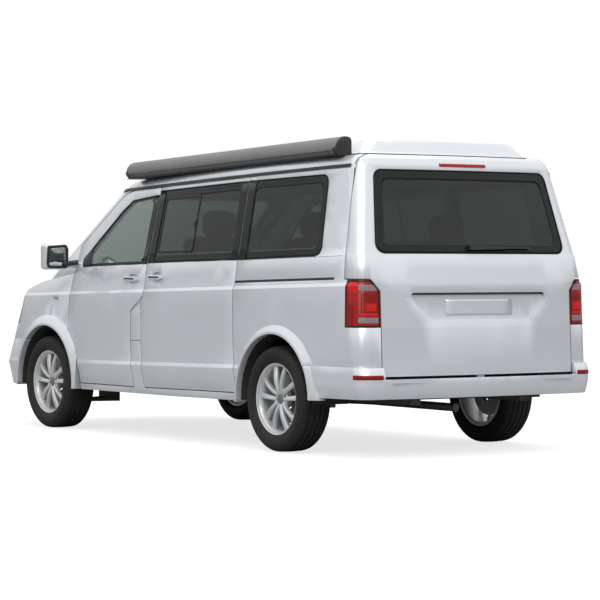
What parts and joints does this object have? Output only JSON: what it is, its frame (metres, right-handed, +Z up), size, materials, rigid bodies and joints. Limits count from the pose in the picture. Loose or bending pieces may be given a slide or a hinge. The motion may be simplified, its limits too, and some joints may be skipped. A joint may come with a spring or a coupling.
{
  "type": "camper van",
  "caption": "Camper van with a lifting roof, roof-side awning case, glazed cab and cabin, hinged doors and tailgate, and steered road wheels.",
  "frame": {"origin": "on the ground under the middle of the van's length and width", "axes": "+X forward along the van, +Y to its left, +Z up"},
  "size_m": [4.9005, 2.282, 1.9785],
  "materials": {
    "body_paint": "gloss silver white",
    "clear_glass": "green tint",
    "dark_glass": "dark tint",
    "black_plastic": "grained",
    "lamp_red": "clear coated",
    "lamp_clear": "clear lens",
    "awning_grey": "powder coated",
    "tyre_rubber": "matt",
    "alloy": "lacquered silver",
    "seat_fabric": "woven",
    "tent_fabric": "coated canvas",
    "chassis_black": "satin",
    "engine_metal": "cast",
    "pipe_steel": "dull"
  },
  "bodies": {
    "body": {"left_body_side": "body_paint", "right_body_side": "body_paint", "sliding_door": "body_paint", "roof_frame": "body_paint", "rear_bumper": "body_paint", "front_bumper": "body_paint", "front_wings": "body_paint", "windscreen": "clear_glass", "side_glass": "dark_glass", "grille": "black_plastic", "cowl": "black_plastic", "dashboard": "black_plastic", "side_rails": "black_plastic", "awning_brackets": "black_plastic", "front_wipers": "black_plastic", "rear_lamps": "lamp_red", "headlamps": "lamp_clear", "awning": "awning_grey", "front_seats": "seat_fabric", "rear_bench": "seat_fabric", "loft_bed": "seat_fabric", "roof_bellows": "tent_fabric", "floor_pan": "chassis_black", "firewall": "chassis_black", "front_axle": "chassis_black", "rear_axle": "chassis_black", "engine": "engine_metal", "exhaust": "pipe_steel"},
    "front_door_left": {"front_door_left": "body_paint", "door_glass_left": "clear_glass", "mirror_left": "body_paint"},
    "front_door_right": {"front_door_right": "body_paint", "door_glass_right": "clear_glass", "mirror_right": "body_paint"},
    "tailgate": {"tailgate": "body_paint", "tailgate_glass": "dark_glass", "tailgate_lamp": "lamp_red", "rear_wiper": "black_plastic"},
    "bonnet": {"bonnet": "body_paint"},
    "roof_lid": {"roof_lid": "body_paint"},
    "fuel_flap": {"fuel_flap": "body_paint"},
    "steering_wheel": {"steering_wheel": "black_plastic"},
    "knuckle_left": {"knuckle_left": "chassis_black"},
    "knuckle_right": {"knuckle_right": "chassis_black"},
    "wheel_fl": {"tyre_fl": "tyre_rubber", "rim_fl": "alloy"},
    "wheel_fr": {"tyre_fr": "tyre_rubber", "rim_fr": "alloy"},
    "wheel_rl": {"tyre_rl": "tyre_rubber", "rim_rl": "alloy"},
    "wheel_rr": {"tyre_rr": "tyre_rubber", "rim_rr": "alloy"}
  },
  "joints": [
    {"name": "front_door_left_hinge", "type": "hinge", "parent": "body", "child": "front_door_left", "pos_m": [1.228, 0.948, 0.75], "axis": [0, 0, -1], "range_deg": [0, 65]},
    {"name": "front_door_right_hinge", "type": "hinge", "parent": "body", "child": "front_door_right", "pos_m": [1.228, -0.948, 0.75], "axis": [0, 0, 1], "range_deg": [0, 65]},
    {"name": "tailgate_hinge", "type": "hinge", "parent": "body", "child": "tailgate", "pos_m": [-2.105, 0, 1.866], "axis": [0, 1, 0], "range_deg": [0, 88]},
    {"name": "bonnet_hinge", "type": "hinge", "parent": "body", "child": "bonnet", "pos_m": [1.745, 0, 1.125], "axis": [0, -1, 0], "range_deg": [0, 50]},
    {"name": "roof_lid_hinge", "type": "hinge", "parent": "body", "child": "roof_lid", "pos_m": [-2.0755, 0, 1.8615], "axis": [0, -1, 0], "range_deg": [0, 19.5]},
    {"name": "fuel_flap_hinge", "type": "hinge", "parent": "body", "child": "fuel_flap", "pos_m": [0.183, 0.932, 0.79], "axis": [0, 0, 1], "range_deg": [0, 85]},
    {"name": "steer_left", "type": "hinge", "parent": "body", "child": "knuckle_left", "pos_m": [1.544, 0.716, 0.336], "axis": [0, -0.1392, 0.9903], "range_deg": [-34, 34]},
    {"name": "steer_right", "type": "hinge", "parent": "body", "child": "knuckle_right", "pos_m": [1.544, -0.716, 0.336], "axis": [0, 0.1392, 0.9903], "range_deg": [-34, 34]},
    {"name": "steering_wheel_turn", "type": "hinge", "parent": "body", "child": "steering_wheel", "pos_m": [0.7, -0.4, 1.075], "axis": [-0.83, 0, 0.5577], "range_deg": [-540.6, 540.6]},
    {"name": "wheel_fl_spin", "type": "hinge", "parent": "knuckle_left", "child": "wheel_fl", "pos_m": [1.544, 0.814, 0.336], "axis": [0, 1, 0], "continuous": true},
    {"name": "wheel_fr_spin", "type": "hinge", "parent": "knuckle_right", "child": "wheel_fr", "pos_m": [1.544, -0.814, 0.336], "axis": [0, 1, 0], "continuous": true},
    {"name": "wheel_rl_spin", "type": "hinge", "parent": "body", "child": "wheel_rl", "pos_m": [-1.456, 0.814, 0.336], "axis": [0, 1, 0], "continuous": true},
    {"name": "wheel_rr_spin", "type": "hinge", "parent": "body", "child": "wheel_rr", "pos_m": [-1.456, -0.814, 0.336], "axis": [0, 1, 0], "continuous": true}
  ],
  "couplings": [
    {"joint": "steer_right", "follows": "steer_left", "ratio": 1},
    {"joint": "steering_wheel_turn", "follows": "steer_left", "ratio": 15.9}
  ]
}
